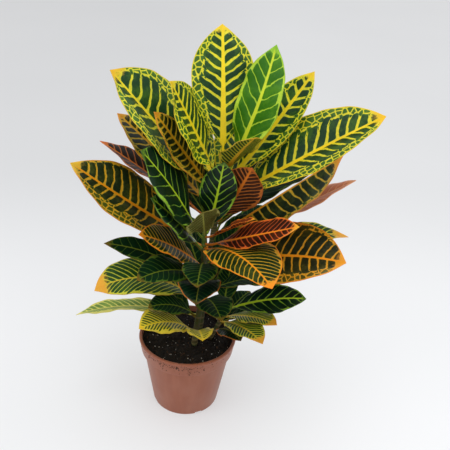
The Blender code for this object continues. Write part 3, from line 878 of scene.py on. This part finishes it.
def soil_piece(material):
    """The filling of the pot: a polar grid of ground on top, the pot's inside below."""
    sides, rings = 144, 46
    angles = np.linspace(0, 2 * math.pi, sides, endpoint=False)
    radii = np.linspace(0, 1, rings + 1)[1:] * (brim_radius(SOIL_LEVEL) - 0.2)
    x = radii[:, None] * np.cos(angles)
    y = radii[:, None] * np.sin(angles)
    top = np.stack([x, y, soil_height(x, y)], -1)
    around = np.stack([np.cos(angles), np.sin(angles)], -1)
    wall = [(59.3, COLLAR_FOOT[1]), (56.0, COLLAR_STEP), (43.5, SOIL_FLOOR)]
    lower = [np.column_stack([radius * around, np.full(sides, height)]) for radius, height in wall]
    points = np.concatenate([top.reshape(-1, 3)] + lower)
    rows = rings + len(wall)
    faces = [tuple(face) for face in grid_faces(rows, sides, 0, True)]
    count = len(points)
    middle = float(soil_height(np.array(0.0), np.array(0.0)))
    points = np.concatenate([points, [(0, 0, middle), (0, 0, SOIL_FLOOR)]])
    for k in range(sides):
        after = (k + 1) % sides
        faces.append((count, after, k))
        faces.append((count + 1, count - sides + k, count - sides + after))
    faces = [face[::-1] for face in faces]
    return make_piece("potting_mix", points, faces, material, "potting_soil", ("soil",), angle=60)


def icosahedron():
    """Twelve corners of three golden rectangles and the twenty faces between them."""
    g = (1 + 5**0.5) / 2
    corners = np.array([
        (-1, g, 0), (1, g, 0), (-1, -g, 0), (1, -g, 0), (0, -1, g), (0, 1, g),
        (0, -1, -g), (0, 1, -g), (g, 0, -1), (g, 0, 1), (-g, 0, -1), (-g, 0, 1),
    ]) / math.hypot(1, g)
    faces = [
        (0, 11, 5), (0, 5, 1), (0, 1, 7), (0, 7, 10), (0, 10, 11), (1, 5, 9), (5, 11, 4),
        (11, 10, 2), (10, 7, 6), (7, 1, 8), (3, 9, 4), (3, 4, 2), (3, 2, 6), (3, 6, 8),
        (3, 8, 9), (4, 9, 5), (2, 4, 11), (6, 2, 10), (8, 6, 7), (9, 8, 1),
    ]
    return corners, np.array(faces)


def turns(count, rng):
    """Random rotation matrices, from random unit quaternions."""
    quaternions = rng.normal(size=(4, count))
    w, x, y, z = quaternions / np.linalg.norm(quaternions, axis=0)
    return np.array([
        (1 - 2 * (y * y + z * z), 2 * (x * y - z * w), 2 * (x * z + y * w)),
        (2 * (x * y + z * w), 1 - 2 * (x * x + z * z), 2 * (y * z - x * w)),
        (2 * (x * z - y * w), 2 * (y * z + x * w), 1 - 2 * (x * x + y * y)),
    ]).transpose(2, 0, 1)


def scatter(name, centres, sizes, shape, material, slot, rng):
    """Twenty-faced lumps: each its own size, turn and dents, squashed to the shape given."""
    corners, faces = icosahedron()
    count = len(centres)
    dents = rng.uniform(0.72, 1.18, (count, 12, 1))
    lumps = corners[None] * dents * np.asarray(shape) * sizes[:, None, None]
    lumps = np.einsum("nij,nkj->nki", turns(count, rng), lumps) + centres[:, None, :]
    joined = (faces[None] + 12 * np.arange(count)[:, None, None]).reshape(-1, 3)
    return make_piece(name, lumps.reshape(-1, 3), joined, material, slot, angle=25)


def over_soil(count, rng, lift):
    """Places spread evenly over the potting mix, clear of the wall."""
    far = (brim_radius(SOIL_LEVEL) - 2.5) * np.sqrt(rng.uniform(0, 1, count))
    turn = rng.uniform(0, 2 * math.pi, count)
    x, y = far * np.cos(turn), far * np.sin(turn)
    return np.stack([x, y, soil_height(x, y) + lift], -1)


def on_collar(count, rng):
    """Places on the outside of the collar and on the rim, thickest at the front."""
    turn = np.radians(-96 + 24 * rng.normal(size=count))
    drop = np.clip(np.abs(rng.normal(size=count)) * 6.5, 0, 24)
    height = POT_HEIGHT - drop
    on_top = drop < 1.2
    radius = np.where(on_top, 62.4, 61.5 + 2.7 * np.clip((height - 83.5) / 16.5, 0, 1) + 0.1)
    return np.stack([radius * np.cos(turn), radius * np.sin(turn), height + 0.1 * on_top], -1)


# ---------------------------------------------------------------- the object


def add_leaves():
    looks = {name: {**SHARED, **look} for name, look in LOOKS.items()}
    finishes = {name: leaf_finish(f"{name} croton leaf", look) for name, look in looks.items()}
    for stem, rows in LEAVES.items():
        for number, row in enumerate(rows, 1):
            worn = WORN[stem][number - 1]
            leaf_piece(stem, number, row, looks[worn], finishes[worn])


def add_pot_and_soil():
    rng = np.random.default_rng(SCATTER_SEED)
    pot_piece(pot_finish())
    soil = peat_finish("damp peat", (20, 16, 13), (48, 37, 29), 0.35)
    soil_piece(soil)
    bark = bark_finish()
    for stem in STEMS:
        stem_piece(stem, bark, rng)
    chips = peat_finish("bark chips", (52, 36, 24), (92, 66, 44), 0.5)
    perlite = peat_finish("perlite", (170, 164, 154), (222, 218, 208), 0.8)
    spilt = peat_finish("spilt peat", (34, 24, 18), (66, 46, 34), 0.6)
    on_soil = (  # name, count, lift, range of sizes, shape, finish
        ("peat_crumbs", 900, 0.2, (0.5, 1.9), (1, 0.85, 0.7), soil),
        ("bark_chips", 70, 0.5, (1.2, 3.0), (1, 0.5, 0.22), chips),
        ("perlite_grains", 110, 0.6, (0.35, 0.95), (1, 0.9, 0.8), perlite),
    )
    for name, count, lift, sizes, shape, finish in on_soil:
        centres = over_soil(count, rng, lift)
        scatter(name, centres, rng.uniform(*sizes, count), shape, finish, "potting_soil", rng)
    centres = on_collar(SPILT_CRUMBS, rng)
    sizes = rng.uniform(0.25, 0.95, SPILT_CRUMBS)
    scatter("spilt_crumbs", centres, sizes, (1, 0.8, 0.7), spilt, "potting_soil", rng)


# ---------------------------------------------------------------- the setting


def add_floor():
    edge = 9000.0
    points = [(-edge, -edge, 0), (edge, -edge, 0), (edge, edge, 0), (-edge, edge, 0)]
    floor = make_piece("floor", points, [(0, 1, 2, 3)], floor_finish(), None)


def add_light(name, place, aim, size, power):
    data = bpy.data.lights.new(name, "AREA")
    data.shape = "DISK"
    data.size = size
    data.energy = power
    light = bpy.data.objects.new(name, data)
    light.location = place
    light.rotation_euler = (Vector(aim) - Vector(place)).to_track_quat("-Z", "Y").to_euler()
    bpy.context.scene.collection.objects.link(light)


def add_setting():
    add_floor()
    add_light("ceiling softbox", (0.2, -0.5, 2.6), (0, 0, 0.2), 2.6, 30)
    add_light("window side", (-2.4, -1.2, 1.6), (0, 0, 0.25), 1.8, 14)
    world = bpy.data.worlds.new("pale room")
    world.use_nodes = True
    world.node_tree.nodes["Background"].inputs["Color"].default_value = (0.98, 0.985, 1.0, 1.0)
    world.node_tree.nodes["Background"].inputs["Strength"].default_value = 0.78
    bpy.context.scene.world = world
    bpy.context.scene.view_settings.view_transform = "Standard"


def add_camera():
    place = (0.040, -0.694, 0.655)
    pitch, roll = math.radians(28.8), math.radians(3.9)
    forward = Vector((0, math.cos(pitch), -math.sin(pitch)))
    right = Vector((1, 0, 0))
    up = right.cross(forward)
    across = right * math.cos(roll) + up * math.sin(roll)
    above = up * math.cos(roll) - right * math.sin(roll)
    data = bpy.data.cameras.new("camera")
    data.lens = 52
    data.sensor_width = 36
    data.clip_end = 50
    camera = bpy.data.objects.new("camera", data)
    turn = Matrix((across, above, -forward)).transposed().to_4x4()
    camera.matrix_world = Matrix.Translation(place) @ turn
    bpy.context.scene.collection.objects.link(camera)
    bpy.context.scene.camera = camera


add_camera()
add_setting()
add_pot_and_soil()
add_leaves()

bpy.context.view_layer.update()
